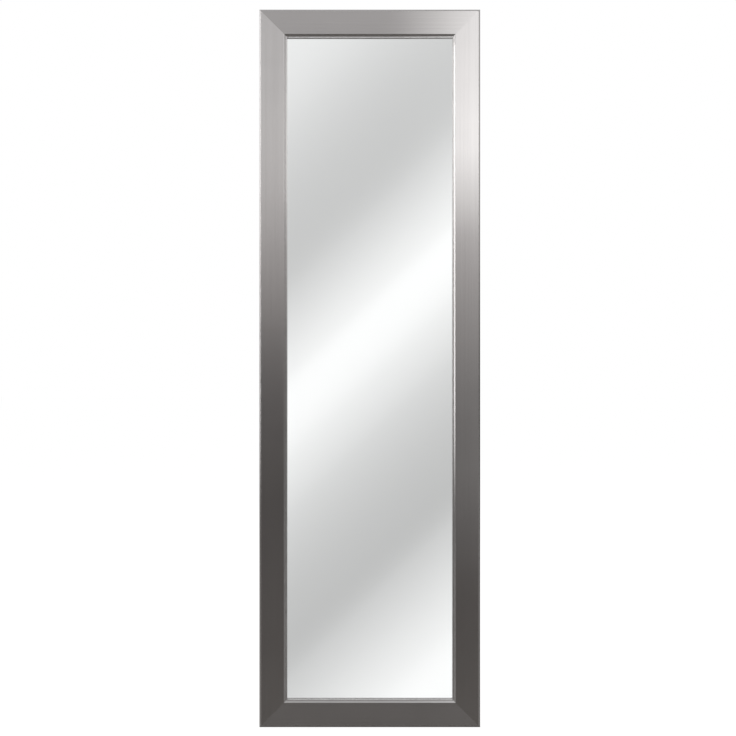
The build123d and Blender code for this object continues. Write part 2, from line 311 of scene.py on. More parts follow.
class Shader:
    """Adds and links the nodes of one material, world or node group."""

    def __init__(self, tree):
        self.tree = tree

    def add(self, kind, **settings):
        node = self.tree.nodes.new(kind)
        for name, value in settings.items():
            setattr(node, name, value)
        return node

    def link(self, output, socket):
        self.tree.links.new(output, socket)

    def feed(self, socket, value):
        if isinstance(value, bpy.types.NodeSocket):
            self.link(value, socket)
        else:
            socket.default_value = value

    def math(self, operation, *values):
        node = self.add("ShaderNodeMath", operation=operation)
        for socket, value in zip(node.inputs, values):
            self.feed(socket, value)
        return node.outputs[0]

    def vector(self, operation, *values):
        node = self.add("ShaderNodeVectorMath", operation=operation)
        for socket, value in zip(node.inputs, values):
            self.feed(socket, value)
        return node.outputs[0]

    def scaled(self, vector, factor):
        node = self.add("ShaderNodeVectorMath", operation="SCALE")
        self.feed(node.inputs[0], vector)
        self.feed(node.inputs["Scale"], factor)
        return node.outputs[0]

    def noise(self, vector, scale, detail=3.0, roughness=0.5):
        node = self.add("ShaderNodeTexNoise")
        self.link(vector, node.inputs["Vector"])
        self.feed(node.inputs["Scale"], scale)
        node.inputs["Detail"].default_value = detail
        node.inputs["Roughness"].default_value = roughness
        return node.outputs["Fac"]

    def spread(self, value, low, high, to_low=0.0, to_high=1.0):
        """The value, moved from one range to another and held at its ends."""
        node = self.add("ShaderNodeMapRange", interpolation_type="SMOOTHSTEP")
        for socket, number in zip(node.inputs[:5], (value, low, high, to_low, to_high)):
            self.feed(socket, number)
        return node.outputs[0]

    def ramp(self, value, *stops, interpolation="B_SPLINE"):
        node = self.add("ShaderNodeValToRGB")
        node.color_ramp.interpolation = interpolation
        elements = node.color_ramp.elements
        while len(elements) < len(stops):
            elements.new(1.0)
        for element, (position, shade) in zip(elements, stops):
            element.position = position
            element.color = shade if isinstance(shade, tuple) else (shade, shade, shade, 1.0)
        self.link(value, node.inputs[0])
        return node.outputs[0]

    def mix(self, factor, one, other, blend="MIX"):
        node = self.add("ShaderNodeMix", data_type="RGBA", blend_type=blend)
        for socket, value in zip((node.inputs[0], node.inputs[6], node.inputs[7]), (factor, one, other)):
            self.feed(socket, value)
        return node.outputs[2]

    def bump(self, height, strength, distance):
        node = self.add("ShaderNodeBump")
        self.link(height, node.inputs["Height"])
        node.inputs["Strength"].default_value = strength
        node.inputs["Distance"].default_value = distance
        return node.outputs[0]

    def effect(self, group, **values):
        node = self.add("ShaderNodeGroup", node_tree=group)
        for name, value in values.items():
            self.feed(node.inputs[name.replace("_", " ").capitalize()], value)
        return node.outputs


def new_material(name):
    """An empty material with a Principled shader, and the helper that adds its nodes."""
    material = bpy.data.materials.new(name)
    material.use_nodes = True
    shader = Shader(material.node_tree)
    surface = material.node_tree.nodes["Principled BSDF"]
    return material, shader, surface


def new_effect(name, inputs, outputs):
    """A node group with named inputs and outputs."""
    group = bpy.data.node_groups.new(name, "ShaderNodeTree")
    for label, kind, default in inputs:
        socket = group.interface.new_socket(label, in_out="INPUT", socket_type=kind)
        socket.default_value = default
    for label, kind in outputs:
        group.interface.new_socket(label, in_out="OUTPUT", socket_type=kind)
    shader = Shader(group)
    entry = shader.add("NodeGroupInput")
    exit_node = shader.add("NodeGroupOutput")
    return group, shader, entry.outputs, exit_node.inputs


def brushed_grain():
    """Long fine scratches, soft streaks and faint clouds, for a metal brushed along one direction."""
    group, shader, given, out = new_effect(
        "Brushed grain",
        [
            ("Stretch", "NodeSocketVector", (1.0, 1.0, 1.0)),
            ("Colour", "NodeSocketColor", WHITE),
            ("Streaks", "NodeSocketFloat", 0.5),
        ],
        [("Colour", "NodeSocketColor"), ("Roughness", "NodeSocketFloat"), ("Height", "NodeSocketFloat")],
    )
    position = shader.add("ShaderNodeTexCoord").outputs["Object"]
    along = shader.vector("MULTIPLY", position, given["Stretch"])
    hairlines = shader.noise(along, 1500.0, 2.0, 0.6)
    streaks = shader.noise(along, 260.0, 4.0, 0.65)
    clouds = shader.noise(position, 9.0, 2.0, 0.5)
    streak = shader.spread(streaks, 0.3, 0.7, -1.0, 1.0)
    hair = shader.spread(hairlines, 0.3, 0.7, -1.0, 1.0)
    tone = shader.math("ADD", shader.math("MULTIPLY", streak, 0.5), shader.math("MULTIPLY", hair, 0.5))
    tone = shader.math("MULTIPLY", tone, given["Streaks"])
    cloud = shader.spread(clouds, 0.35, 0.65, -0.02, 0.02)
    gain = shader.math("ADD", shader.math("ADD", tone, 1.0), cloud)
    shader.link(shader.scaled(given["Colour"], gain), out["Colour"])
    shader.link(shader.math("MULTIPLY_ADD", streak, 0.015, 0.5), out["Roughness"])
    shader.link(shader.math("ADD", hairlines, shader.math("MULTIPLY", streaks, 0.6)), out["Height"])
    return group


def mottle():
    """Fine specks over broader clouds, for pressed board, card and rubber."""
    group, shader, given, out = new_effect(
        "Mottle",
        [
            ("Colour", "NodeSocketColor", WHITE),
            ("Speck size", "NodeSocketFloat", 900.0),
            ("Cloud size", "NodeSocketFloat", 30.0),
            ("Speck strength", "NodeSocketFloat", 0.2),
            ("Cloud strength", "NodeSocketFloat", 0.1),
        ],
        [("Colour", "NodeSocketColor"), ("Value", "NodeSocketFloat"), ("Height", "NodeSocketFloat")],
    )
    position = shader.add("ShaderNodeTexCoord").outputs["Object"]
    specks = shader.spread(shader.noise(position, given["Speck size"], 4.0, 0.7), 0.3, 0.7, -1.0, 1.0)
    clouds = shader.spread(shader.noise(position, given["Cloud size"], 3.0, 0.6), 0.3, 0.7, -1.0, 1.0)
    tone = shader.math("MULTIPLY_ADD", specks, given["Speck strength"], 1.0)
    tone = shader.math("ADD", tone, shader.math("MULTIPLY", clouds, given["Cloud strength"]))
    shader.link(shader.scaled(given["Colour"], tone), out["Colour"])
    shader.link(shader.spread(clouds, -1.0, 1.0), out["Value"])
    shader.link(specks, out["Height"])
    return group


def brushed_nickel(name, shade, grain, stretch, along):
    """Satin nickel brushed along one direction: sharp along the grain, blurred across it."""
    material, shader, surface = new_material(name)
    made = shader.effect(grain, stretch=stretch, colour=shade, streaks=0.035)
    shader.link(made["Colour"], surface.inputs["Base Color"])
    surface.inputs["Metallic"].default_value = 1.0
    surface.inputs["Roughness"].default_value = 0.18
    surface.inputs["Anisotropic"].default_value = 1.0
    normal = shader.add("ShaderNodeNewGeometry").outputs["Normal"]
    shader.link(shader.vector("CROSS_PRODUCT", normal, along), surface.inputs["Tangent"])
    shader.link(shader.bump(made["Height"], 0.05, 0.00001), surface.inputs["Normal"])
    return material


def plated(name, shade, grain, roughness):
    """Plated metal with faint tumbling marks."""
    material, shader, surface = new_material(name)
    made = shader.effect(grain, stretch=(1.0, 1.0, 1.0), colour=shade, streaks=0.16)
    shader.link(made["Colour"], surface.inputs["Base Color"])
    surface.inputs["Metallic"].default_value = 1.0
    worn = shader.math("MULTIPLY_ADD", made["Roughness"], 0.5, roughness - 0.25)
    shader.link(worn, surface.inputs["Roughness"])
    shader.link(shader.bump(made["Height"], 0.12, 0.00003), surface.inputs["Normal"])
    return material


def pressed(name, shade, speckle, sizes, strengths, roughness, relief):
    """A board, card or rubber with specks and clouds."""
    material, shader, surface = new_material(name)
    made = shader.effect(
        speckle, colour=shade, speck_size=sizes[0], cloud_size=sizes[1],
        speck_strength=strengths[0], cloud_strength=strengths[1],
    )
    shader.link(made["Colour"], surface.inputs["Base Color"])
    rough = shader.math("MULTIPLY_ADD", made["Value"], 0.1, roughness - 0.05)
    shader.link(rough, surface.inputs["Roughness"])
    surface.inputs["Specular IOR Level"].default_value = 0.35
    shader.link(shader.bump(made["Height"], 0.3, relief), surface.inputs["Normal"])
    return material


def clear_glass(shade):
    """Clear float glass."""
    material, _, surface = new_material("Float glass")
    surface.inputs["Base Color"].default_value = shade
    surface.inputs["Roughness"].default_value = 0.0
    surface.inputs["IOR"].default_value = 1.52
    surface.inputs["Transmission Weight"].default_value = 1.0
    return material


def silvering(shade):
    """The silver film behind the glass."""
    material, _, surface = new_material("Silvering")
    surface.inputs["Base Color"].default_value = shade
    surface.inputs["Metallic"].default_value = 1.0
    surface.inputs["Roughness"].default_value = 0.0
    return material


class MIRROR_OT_finishes(bpy.types.Operator):
    """Makes the finishes and gives them to the CAD pieces that are shown as they are"""

    bl_idname = "mirror.finishes"
    bl_label = "Finishes"

    def execute(self, context):
        shades = context.scene.mirror_colours
        grain, speckle = brushed_grain(), mottle()
        nickel, zinc = tuple(shades.nickel), tuple(shades.zinc)
        brushed_nickel("Nickel brushed upwards", nickel, grain, (1.0, 1.0, 0.004), (0.0, 0.0, 1.0))
        brushed_nickel("Nickel brushed across", nickel, grain, (0.004, 1.0, 1.0), (1.0, 0.0, 0.0))
        plated("Zinc-plated steel", zinc, grain, 0.34)
        plated("Nickel-plated wire", tuple(shades.wire), grain, 0.17)
        silvering(tuple(shades.silver))
        pressed("Mirror paint", tuple(shades.paint), speckle, (700.0, 12.0), (0.05, 0.05), 0.5, 0.00002)
        pressed("Rubber", tuple(shades.rubber), speckle, (1400.0, 60.0), (0.25, 0.2), 0.62, 0.00005)
        fibre = pressed("MDF", tuple(shades.fibre), speckle, (1500.0, 26.0), (0.16, 0.07), 0.84, 0.00008)
        board = pressed(
            "Hardboard", tuple(shades.hardboard), speckle, (1100.0, 22.0), (0.3, 0.06), 0.5, 0.00004
        )
        card = pressed(
            "Corrugated board", tuple(shades.card), speckle, (800.0, 40.0), (0.1, 0.06), 0.9, 0.00006
        )
        repaint(fibre, *[node for node in frame["nodes"] if node.startswith("core_")])
        repaint(board, "backing_board")
        repaint(card, "filler_sheet")
        repaint(clear_glass(tuple(shades.glass)), "mirror_glass")
        repaint(bpy.data.materials["Zinc-plated steel"], "corner_v_nails")
        return {"FINISHED"}


def facing_length(sizes, name, length):
    """One length of wrapped facing along X, its outer edge at Z = 0 and the frame's back at Y = 0."""
    step_start = sizes.width - sizes.bead_width - sizes.step_width
    bead_front = sizes.depth - sizes.step_depth
    path = [
        (0, 0),
        (0, sizes.depth - sizes.bevel),
        (sizes.bevel, sizes.depth),
        (step_start, sizes.depth),
        (sizes.width - sizes.bead_width, bead_front),
        (sizes.width, bead_front),
        (sizes.width, sizes.glass_level),
        (sizes.width - sizes.lip_return, sizes.glass_level),
    ]
    deselect_everything()
    bpy.ops.mesh.primitive_plane_add(
        size=1, location=(0, 0, sizes.back_wrap / 2), rotation=(math.pi / 2, 0, 0)
    )
    bpy.context.object.scale = (length, sizes.back_wrap, 1)
    piece = started(name)
    edit(piece)
    select(piece, edges=lambda edge: abs(middle(edge).z) < SAME_PLACE)
    for (inset, front), (next_inset, next_front) in zip(path, path[1:]):
        step = (0, front - next_front, next_inset - inset)
        bpy.ops.mesh.extrude_edges_move(TRANSFORM_OT_translate={"value": step})
    bpy.ops.mesh.select_all(action="SELECT")
    bpy.ops.mesh.normals_make_consistent(inside=False)
    mesh = bmesh.from_edit_mesh(piece.data)
    widest = max(mesh.faces, key=lambda face: face.calc_area() * (abs(face.normal.y) > 0.9))
    if widest.normal.y > 0:
        bpy.ops.mesh.flip_normals()
    for lowest, highest in ((80, 100), (35, 55)):
        turn = math.radians((lowest + highest) / 2)
        select(piece, edges=lambda edge: len(edge.link_faces) == 2
               and lowest < math.degrees(edge.calc_face_angle()) < highest)
        bpy.ops.mesh.bevel(
            offset=sizes.blend * math.tan(turn / 2), segments=5, affect="EDGES", clamp_overlap=False
        )
    modify(piece, "SOLIDIFY", thickness=sizes.facing, offset=-1, use_even_offset=True)
    edit(piece)
    for end in (-1, 1):
        bpy.ops.mesh.select_all(action="SELECT")
        bpy.ops.mesh.bisect(
            plane_co=(end * length / 2, 0, 0), plane_no=(end, 0, 1), use_fill=True, clear_outer=True
        )
    select(piece, edges=lambda edge: any(abs(face.normal.x) > 0.6 for face in edge.link_faces)
           and any(abs(face.normal.x) < 0.1 for face in edge.link_faces)
           and on_outer_skin(edge, sizes))
    bpy.ops.mesh.bevel(offset=sizes.mitre_ease, segments=2, affect="EDGES", clamp_overlap=True)
    smooth(piece)
    return piece


def on_outer_skin(edge, sizes):
    """Whether an edge lies on the face, the bevel, the step or the bead, where the mitre shows."""
    place = middle(edge)
    step_region = sizes.bead_width + sizes.step_width + sizes.blend
    shown_level = (
        place.z < sizes.bevel
        or place.y < SKIN_TOLERANCE - sizes.depth
        or place.z > sizes.width - step_region
    )
    near_front = place.y < sizes.step_depth + sizes.facing * 1.5 - sizes.depth
    return near_front and shown_level and any(face.normal.y < -0.3 for face in edge.link_faces)


class MIRROR_OT_nickel_facing(bpy.types.Operator):
    """Models the nickel facing that is wrapped round the four rails, mitred at the corners"""

    bl_idname = "mirror.nickel_facing"
    bl_label = "Nickel facing"

    def execute(self, context):
        sizes = context.scene.mirror_moulding
        for names in (("bottom_rail", "top_rail"), ("left_stile", "right_stile")):
            low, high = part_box(f"facing_{names[0]}")
            pattern = facing_length(sizes, "facing_pattern", max(high - low))
            for name in names:
                low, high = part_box(f"facing_{name}")
                turn = {"bottom_rail": 0, "top_rail": 180, "left_stile": 90, "right_stile": -90}[name]
                outer = {
                    "bottom_rail": Vector((0, BACK_Y, low.z)), "top_rail": Vector((0, BACK_Y, high.z)),
                    "left_stile": Vector((low.x, BACK_Y, 0)), "right_stile": Vector((high.x, BACK_Y, 0)),
                }[name]
                place = Matrix.Translation(outer) @ Matrix.Rotation(math.radians(turn), 4, "Y")
                piece = placed(pattern, f"nickel_facing_{name}", place)
                grain = "across" if name.endswith("rail") else "upwards"
                belongs(piece, bpy.data.materials[f"Nickel brushed {grain}"], "brushed_nickel_facing",
                        "root", f"facing_{name}")
            remove(pattern)
        return {"FINISHED"}


class MIRROR_OT_silvered_back(bpy.types.Operator):
    """Models the silver film and the paint behind the glass"""

    bl_idname = "mirror.silvered_back"
    bl_label = "Silvered back"

    def execute(self, context):
        low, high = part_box("silver_coating")
        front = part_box("mirror_glass")[1].y - SILVER_OVERLAP
        deselect_everything()
        bpy.ops.mesh.primitive_cube_add(size=1, location=((low.x + high.x) / 2, (front + high.y) / 2,
                                                          (low.z + high.z) / 2))
        margins = 2 * SILVER_MARGIN
        bpy.context.object.scale = (high.x - low.x - margins, high.y - front, high.z - low.z - margins)
        piece = started("silvered_back")
        edit(piece)
        select(piece, faces=lambda face: face.normal.y > 0.9)
        bpy.ops.mesh.bevel(offset=SILVER_OVERLAP, segments=2, affect="EDGES")
        select(piece, faces=lambda face: face.normal.y < -0.9)
        bpy.ops.mesh.inset(thickness=SILVER_BORDER)
        deselect_everything()
        belongs(piece, [bpy.data.materials["Silvering"], bpy.data.materials["Mirror paint"]], "silvering",
                "root", "silver_coating")
        for face in piece.data.polygons:
            face.material_index = 0 if face.normal.y < -0.9 else 1
        return {"FINISHED"}


def screw_pattern(sizes):
    """A pan-head screw with a cross recess, its head above Z = 0 and its point down."""
    deselect_everything()
    bpy.ops.mesh.primitive_cylinder_add(
        vertices=40, radius=sizes.head_radius, depth=sizes.head_height,
        location=(0, 0, sizes.head_height / 2),
    )
    piece = started("screw_pattern")
    edit(piece)
    select(piece, faces=lambda face: face.normal.z > 0.9)
    bpy.ops.mesh.bevel(offset=sizes.head_height * 0.62, segments=6, profile=0.45, affect="EDGES")
    select(piece, faces=lambda face: face.normal.z < -0.9)
    bpy.ops.mesh.inset(thickness=sizes.head_radius - sizes.screw_radius)
    for length, scale in ((sizes.screw_length - SCREW_POINT, 1.0), (SCREW_POINT, 0.06)):
        bpy.ops.mesh.extrude_region_move(TRANSFORM_OT_translate={"value": (0, 0, -length)})
        if scale < 1:
            bpy.ops.transform.resize(value=(scale, scale, 1), center_override=(0, 0, -sizes.screw_length))
    cutters = []
    for turn in (0, math.pi / 2):
        deselect_everything()
        bpy.ops.mesh.primitive_cube_add(
            size=1, location=(0, 0, sizes.head_height), rotation=(0, 0, turn + math.pi / 4)
        )
        bpy.context.object.scale = (RECESS_SPAN, RECESS_WIDTH, RECESS_HEIGHT)
        cutter = started("recess_cutter")
        edit(cutter)
        select(cutter, faces=lambda face: face.normal.z < -0.9)
        bpy.ops.transform.resize(value=(0.45, 0.45, 1), center_override=(0, 0, 0))
        deselect_everything()
        modify(piece, "BOOLEAN", operation="DIFFERENCE", object=cutter, solver="EXACT")
        cutters.append(cutter)
    remove(*cutters)
    face_outwards(piece)
    smooth(piece, 32)
    return piece


def off_the_back(x, z, turn, height=0.0):
    """The place of a fitting on the back of the frame, whose own Z points along the turned direction."""
    return Matrix.Translation((x, BACK_Y + height, z)) @ Matrix.Rotation(turn, 4, "Y")


def turned_towards(body):
    """Where a turn button or ring stands on its axis, and which way it points there, as a turn about Y."""
    axis = FITTINGS[body]
    low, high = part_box(body)
    away = (low + high) / 2 - axis
    if abs(away.x) > abs(away.z):
        return axis, math.copysign(math.pi / 2, away.x)
    return axis, 0.0 if away.z > 0 else math.pi


class MIRROR_OT_screws(bpy.types.Operator):
    """Models the pan-head screws of the turn buttons and of the strap hangers"""

    bl_idname = "mirror.screws"
    bl_label = "Screws"

    def execute(self, context):
        sizes = context.scene.mirror_fittings
        pattern = screw_pattern(sizes)
        upright = Matrix.Rotation(-math.pi / 2, 4, "X")
        for body in sorted(FITTINGS):
            axis, turn = turned_towards(body)
            # A different turn for each screw, as driving them by hand leaves them
            spin = Matrix.Rotation(math.radians(37 * len(body) + 610 * axis.z), 4, "Z")
            if body.startswith("turn_button"):
                group, seat = "turn_button_screws", BUTTON_SCREW_SEAT
                place = off_the_back(axis.x, axis.z, 0)
            else:
                group, seat = "hanger_screws", STRAP_SCREW_SEAT
                place = off_the_back(axis.x, axis.z, turn) @ Matrix.Translation((0, 0, -sizes.strap_screw))
            place = place @ Matrix.Translation((0, seat, 0)) @ upright @ spin
            piece = placed(pattern, f"screw_{body}", place)
            belongs(piece, bpy.data.materials["Zinc-plated steel"], "zinc_plated_steel", "root", group)
        remove(pattern)
        return {"FINISHED"}


def button_pattern(sizes):
    """A turn button with its pivot on the Y axis, its tip along Z and its lower side at Y = 0."""
    deselect_everything()
    bpy.ops.mesh.primitive_circle_add(
        vertices=64, radius=sizes.button_boss, fill_type="NGON", rotation=(math.pi / 2, 0, 0)
    )
    piece = started("button_pattern")
    span = sizes.button_reach - sizes.button_tip
    lean = math.asin((sizes.button_boss - sizes.button_tip) / span)
    edit(piece)
    select(piece, verts=lambda vert: vert.co.z > sizes.button_boss * math.sin(lean) + SAME_PLACE)
    scale = sizes.button_tip / sizes.button_boss
    bpy.ops.transform.resize(value=(scale, scale, scale), center_override=(0, 0, 0))
    bpy.ops.transform.translate(value=(0, 0, span))
    bend = sizes.button_reach - sizes.button_lift
    bpy.ops.mesh.select_all(action="SELECT")
    bpy.ops.mesh.bisect(plane_co=(0, 0, bend), plane_no=(0, 0, 1))
    select(piece, faces=lambda face: True)
    bpy.ops.mesh.extrude_region_move(TRANSFORM_OT_translate={"value": (0, sizes.button_thickness, 0)})
    select(piece, verts=lambda vert: vert.co.z > bend + SAME_PLACE)
    bpy.ops.transform.rotate(value=math.radians(20), orient_axis="X", center_override=(0, 0, bend))
    deselect_everything()
    bpy.ops.mesh.primitive_cylinder_add(
        vertices=32, radius=sizes.screw_radius + BUTTON_HOLE_GAP, depth=DRILL_DEPTH,
        rotation=(math.pi / 2, 0, 0),
    )
    drill = started("button_drill")
    modify(piece, "BOOLEAN", operation="DIFFERENCE", object=drill, solver="EXACT")
    remove(drill)
    face_outwards(piece)
    modify(piece, "BEVEL", width=EASED_EDGE, segments=2, limit_method="ANGLE", angle_limit=math.radians(50))
    smooth(piece)
    return piece


class MIRROR_OT_turn_buttons(bpy.types.Operator):
    """Models the turn buttons that hold the backing board in"""

    bl_idname = "mirror.turn_buttons"
    bl_label = "Turn buttons"

    def execute(self, context):
        sizes = context.scene.mirror_fittings
        pattern = button_pattern(sizes)
        for body in sorted(name for name in FITTINGS if name.startswith("turn_button")):
            axis, turn = turned_towards(body)
            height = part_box(body)[0].y - BACK_Y
            piece = placed(pattern, f"{body}_plate", off_the_back(axis.x, axis.z, turn, height))
            belongs(piece, bpy.data.materials["Zinc-plated steel"], "zinc_plated_steel", body, body)
        remove(pattern)
        return {"FINISHED"}


def strap_pattern(sizes, eye_height):
    """A strap folded double round the X axis at the eye's height, its ends along -Z."""
    half = sizes.strap_thickness / 2
    loop = eye_height - half
    shoulder_height = 3 * half + STRAP_PLY_GAP + STRAP_SHOULDER_RADIUS
    rise = shoulder_height - eye_height
    shoulder_back = math.sqrt((loop + STRAP_SHOULDER_RADIUS) ** 2 - rise ** 2)
    meeting = math.pi - math.atan2(rise, shoulder_back)
    deselect_everything()
    bpy.ops.mesh.primitive_plane_add(
        size=1, location=(0, half, -sizes.strap_length / 2), rotation=(math.pi / 2, 0, 0)
    )
    bpy.context.object.scale = (sizes.strap_width, sizes.strap_length, 1)
    piece = started("strap_pattern")
    edit(piece)
    select(piece, edges=lambda edge: abs(middle(edge).z) < SAME_PLACE)
    bpy.ops.mesh.spin(
        steps=20, dupli=False, angle=math.pi / 2 + meeting, center=(0, eye_height, 0), axis=(1, 0, 0)
    )
    bpy.ops.mesh.spin(
        steps=6, dupli=False, angle=meeting - math.pi / 2, center=(0, shoulder_height, -shoulder_back),
        axis=(-1, 0, 0),
    )
    run = sizes.strap_length - shoulder_back
    bpy.ops.mesh.extrude_edges_move(TRANSFORM_OT_translate={"value": (0, 0, -run)})
    select(piece, verts=lambda vert: abs(vert.co.z + sizes.strap_length) < SAME_PLACE)
    bpy.ops.mesh.bevel(
        offset=sizes.strap_width / 2 - STRAP_TIP_FLAT, segments=12, affect="VERTICES", clamp_overlap=False
    )
    bpy.ops.mesh.select_all(action="SELECT")
    bpy.ops.mesh.remove_doubles(threshold=SAME_PLACE)
    bpy.ops.mesh.normals_make_consistent(inside=False)
    modify(piece, "SOLIDIFY", thickness=sizes.strap_thickness, offset=0, use_even_offset=True)
    bpy.ops.mesh.primitive_cylinder_add(
        vertices=32, radius=sizes.screw_radius + STRAP_HOLE_GAP, depth=DRILL_DEPTH,
        location=(0, 0, -sizes.strap_screw), rotation=(math.pi / 2, 0, 0),
    )
    drill = started("strap_drill")
    modify(piece, "BOOLEAN", operation="DIFFERENCE", object=drill, solver="EXACT")
    remove(drill)
    face_outwards(piece)
    modify(piece, "BEVEL", width=EASED_EDGE, segments=2, limit_method="ANGLE", angle_limit=math.radians(50))
    smooth(piece)
    return piece


def ring_pattern(sizes):
    """A D-ring of round wire in the XZ plane, its straight leg along X and its bow along Z."""
    corner, side, half = sizes.ring_corner, sizes.ring_side, sizes.ring_half_width
    deselect_everything()
    bpy.ops.mesh.primitive_circle_add(
        vertices=24, radius=sizes.wire_radius, location=(corner - half, 0, 0), rotation=(0, math.pi / 2, 0)
    )
    piece = started("ring_pattern")
    edit(piece)
    bpy.ops.mesh.select_all(action="SELECT")
    leg = 2 * (half - corner)
    for move, centre, angle, steps in (
        ((leg, 0, 0), (half - corner, 0, corner), math.pi / 2, 8),
        ((0, 0, side), (0, 0, corner + side), math.pi, 28),
        ((0, 0, -side), (corner - half, 0, corner), math.pi / 2, 8),
    ):
        bpy.ops.mesh.extrude_edges_move(TRANSFORM_OT_translate={"value": move})
        bpy.ops.mesh.spin(steps=steps, dupli=False, angle=angle, center=centre, axis=(0, 1, 0))
    face_outwards(piece)
    smooth(piece, 60)
    return piece


class MIRROR_OT_strap_hangers(bpy.types.Operator):
    """Models the four strap hangers and their D-rings"""

    bl_idname = "mirror.strap_hangers"
    bl_label = "Strap hangers"

    def execute(self, context):
        sizes = context.scene.mirror_fittings
        rings = sorted(name for name in FITTINGS if name.startswith("hanger_ring"))
        eye_height = FITTINGS[rings[0]].y - BACK_Y
        strap, ring = strap_pattern(sizes, eye_height), ring_pattern(sizes)
        for body in rings:
            axis, turn = turned_towards(body)
            name = body.replace("hanger_ring_", "")
            piece = placed(strap, f"strap_{name}", off_the_back(axis.x, axis.z, turn))
            belongs(piece, bpy.data.materials["Zinc-plated steel"], "zinc_plated_steel", "root",
                    "hanger_straps")
            reach = sizes.ring_corner + sizes.ring_side + sizes.ring_half_width
            lean = math.asin((eye_height - sizes.wire_radius - RING_REST_GAP) / reach)
            place = off_the_back(axis.x, axis.z, turn, eye_height) @ Matrix.Rotation(lean, 4, "X")
            piece = placed(ring, f"ring_{name}", place)
            belongs(piece, bpy.data.materials["Nickel-plated wire"], "nickel_plated_wire", body, body)
        remove(strap, ring)
        return {"FINISHED"}


class MIRROR_OT_wall_bumpers(bpy.types.Operator):
    """Models the rubber bumpers that stand the frame off the wall"""

    bl_idname = "mirror.wall_bumpers"
    bl_label = "Wall bumpers"

    def execute(self, context):
        sizes = context.scene.mirror_fittings
        height = -BACK_Y
        deselect_everything()
        bpy.ops.mesh.primitive_cylinder_add(
            vertices=56, radius=sizes.bumper_radius, depth=height, location=(0, height / 2, 0),
            rotation=(-math.pi / 2, 0, 0),
        )
        pattern = started("bumper_pattern")
        edit(pattern)
        select(pattern, faces=lambda face: face.normal.y > 0.9)
        bpy.ops.mesh.bevel(offset=BUMPER_ROUNDING, segments=6, affect="EDGES")
        select(pattern, faces=lambda face: face.normal.y > 0.9999)
        bpy.ops.mesh.inset(thickness=BUMPER_RIM)
        bpy.ops.mesh.inset(thickness=BUMPER_RIM / 2)
        bpy.ops.transform.translate(value=(0, -BUMPER_DISH, 0))
        deselect_everything()
        smooth(pattern, 40)
        for name, place in MOUNTS.items():
            if name.startswith("bumper_face_"):
                piece = placed(pattern, name.replace("face", "pad"), off_the_back(place.x, place.z, 0))
                belongs(piece, bpy.data.materials["Rubber"], "bumper_rubber", "root", "wall_bumpers")
        remove(pattern)
        return {"FINISHED"}


def studio_world(settings):
    """Even light for matt surfaces, with a soft studio of its own in the metal and in the glass."""
    world = bpy.data.worlds.new("Studio")
    bpy.context.scene.world = world
    world.use_nodes = True
    world.cycles.sampling_method = "NONE"
    shader = Shader(world.node_tree)
    output = world.node_tree.nodes["World Output"]
    world.node_tree.nodes.remove(world.node_tree.nodes["Background"])
    direction = shader.add("ShaderNodeSeparateXYZ")
    shader.link(shader.add("ShaderNodeTexCoord").outputs["Generated"], direction.inputs[0])
    sideways, upwards = direction.outputs["X"], direction.outputs["Z"]
    height = shader.ramp(
        shader.math("MULTIPLY_ADD", upwards, 0.5, 0.5),
        (0.000, (0.11, 0.104, 0.10, 1)), (0.125, (0.20, 0.19, 0.18, 1)),
        (0.25, (0.18, 0.172, 0.166, 1)), (0.32, (0.09, 0.084, 0.078, 1)),
        (0.37, (0.098, 0.090, 0.083, 1)), (0.44, (0.069, 0.062, 0.059, 1)),
        (0.475, (0.084, 0.078, 0.075, 1)), (0.50, (0.150, 0.142, 0.140, 1)),
        (0.5175, (0.27, 0.258, 0.254, 1)), (0.535, (0.43, 0.414, 0.41, 1)),
        (0.56, (0.60, 0.588, 0.584, 1)), (0.60, (0.60, 0.592, 0.592, 1)),
        (0.675, (0.56, 0.555, 0.555, 1)), (1.00, (0.50, 0.50, 0.50, 1)),
        interpolation="CARDINAL",
    )
    across = shader.math("MULTIPLY_ADD", sideways, 0.5, 0.5)
    sides = shader.ramp(across, (0.0, 0.60), (0.15, 0.61), (0.35, 0.53), (0.5, 0.5), (0.62, 0.55),
                        (0.8, 0.75), (0.93, 0.5), (1.0, 0.34))
    metal = shader.mix(1.0, height, shader.vector("ADD", sides, sides), "MULTIPLY")
    away = shader.ramp(shader.math("ABSOLUTE", sideways), (0.0, 0.0), (0.3, 0.0), (0.55, 0.36),
                       (0.85, 0.3), (1.0, 0.06))
    low = shader.spread(upwards, 0.02, -0.14)
    metal = shader.vector("ADD", metal, shader.mix(1.0, away, low, "MULTIPLY"))
    diagonal = shader.math("SUBTRACT", shader.math("MULTIPLY", sideways, 0.94), upwards)
    bands = shader.ramp(
        shader.math("MULTIPLY_ADD", diagonal, 1.25, 0.5),
        (0.00, 0.68), (0.20, 0.731), (0.264, 0.612), (0.340, 0.506), (0.386, 0.576), (0.448, 0.81),
        (0.474, 0.88), (0.509, 0.79), (0.555, 0.62), (0.639, 0.478), (0.678, 0.55), (0.754, 0.80),
        (0.80, 0.88), (1.00, 0.72),
        interpolation="CARDINAL",
    )
    bands = shader.scaled(bands, 1.25)
    rays = shader.add("ShaderNodeLightPath").outputs
    even = (settings.room_light, settings.room_light, settings.room_light, 1.0)
    light = shader.mix(rays["Is Glossy Ray"], even, metal)
    light = shader.mix(rays["Is Transmission Ray"], light, bands)
    light = shader.mix(rays["Is Camera Ray"], light, WHITE)
    background = shader.add("ShaderNodeBackground")
    shader.link(light, background.inputs["Color"])
    shader.link(background.outputs[0], output.inputs["Surface"])


